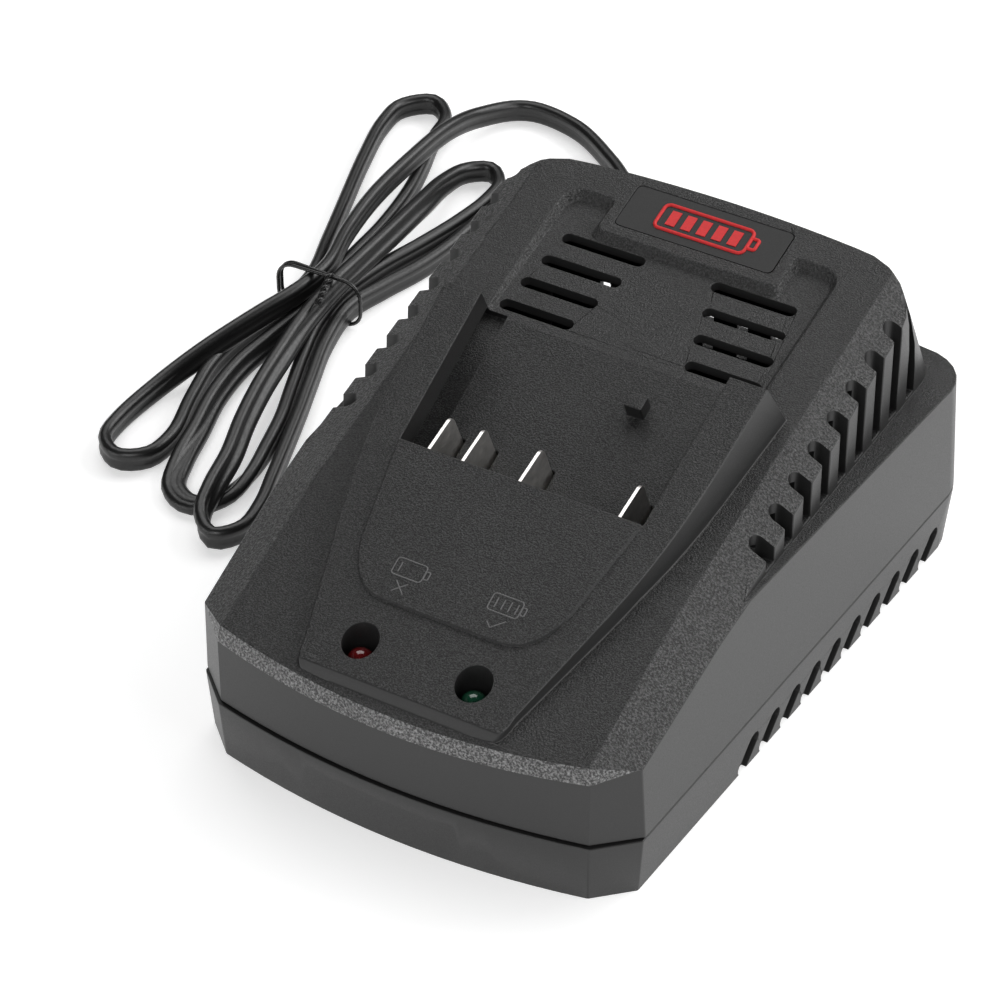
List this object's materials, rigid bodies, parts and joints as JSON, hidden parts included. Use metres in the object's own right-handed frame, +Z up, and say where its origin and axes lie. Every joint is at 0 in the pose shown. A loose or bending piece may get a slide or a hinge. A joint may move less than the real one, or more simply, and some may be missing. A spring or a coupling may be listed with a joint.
{
  "type": "battery charger",
  "caption": "Desktop battery charger with a sloped rail dock, four contact blades, side vents, two lamps and a hanked mains cord with a plug.",
  "frame": {"origin": "on the floor under the middle of the case, without its cord", "axes": "+Y from the low front to the high rear, +Z up, +X to the right as seen from the front"},
  "size_m": [0.237, 0.3, 0.0887],
  "materials": {
    "upper_case": "charcoal plastic with a fine spark-eroded grain",
    "lower_case": "charcoal plastic, smooth satin",
    "label_plate": "smooth charcoal plate with a red mark",
    "red_lens": "dark red clear lens",
    "green_lens": "dark green clear lens",
    "board_laminate": "green lacquered laminate",
    "lead_insulation": "soft insulation",
    "contact_insulator": "ivory moulding",
    "contact_metal": "bright nickel",
    "ferrite": "dull ferrite",
    "coil_tape": "yellow polyester tape",
    "capacitor_sleeve": "shrunk sleeve",
    "copper_winding": "enamelled copper",
    "fuse_glass": "clear glass",
    "clip_brass": "tinned brass",
    "component_epoxy": "black epoxy",
    "heat_sink": "mill finish",
    "screw_steel": "zinc plated",
    "cord_sheath": "black flexible sheath",
    "clamp_plastic": "moulded nylon",
    "tie_plastic": "thin black tie",
    "plug_metal": "nickel-plated brass"
  },
  "bodies": {
    "root": {"top_shell": "upper_case", "bottom_shell": "lower_case", "label_plate": "label_plate", "red_lamp": "red_lens", "green_lamp": "green_lens", "lamp_board": "board_laminate", "lamp_cable": "lead_insulation", "contact_block": "contact_insulator", "negative_blade": "contact_metal", "temperature_blade": "contact_metal", "coding_blade": "contact_metal", "positive_blade": "contact_metal", "contact_leads": "lead_insulation", "circuit_board": "board_laminate", "transformer_core": "ferrite", "transformer_coil": "coil_tape", "mains_capacitor": "capacitor_sleeve", "output_capacitor": "capacitor_sleeve", "mains_choke": "copper_winding", "fuse": "fuse_glass", "fuse_clips": "clip_brass", "bridge_rectifier": "component_epoxy", "primary_heat_sink": "heat_sink", "switching_transistor": "component_epoxy", "output_heat_sink": "heat_sink", "output_diode": "component_epoxy", "case_screws": "screw_steel", "board_screws": "screw_steel", "cord_relief": "cord_sheath", "cord_clamp": "clamp_plastic", "clamp_screws": "screw_steel", "inlet_leads": "lead_insulation", "cord_tube": "cord_sheath", "cord_hank": "cord_sheath", "cord_tie": "tie_plastic", "plug_tube": "cord_sheath", "plug_body": "cord_sheath", "plug_blades": "plug_metal"}
  },
  "joints": []
}
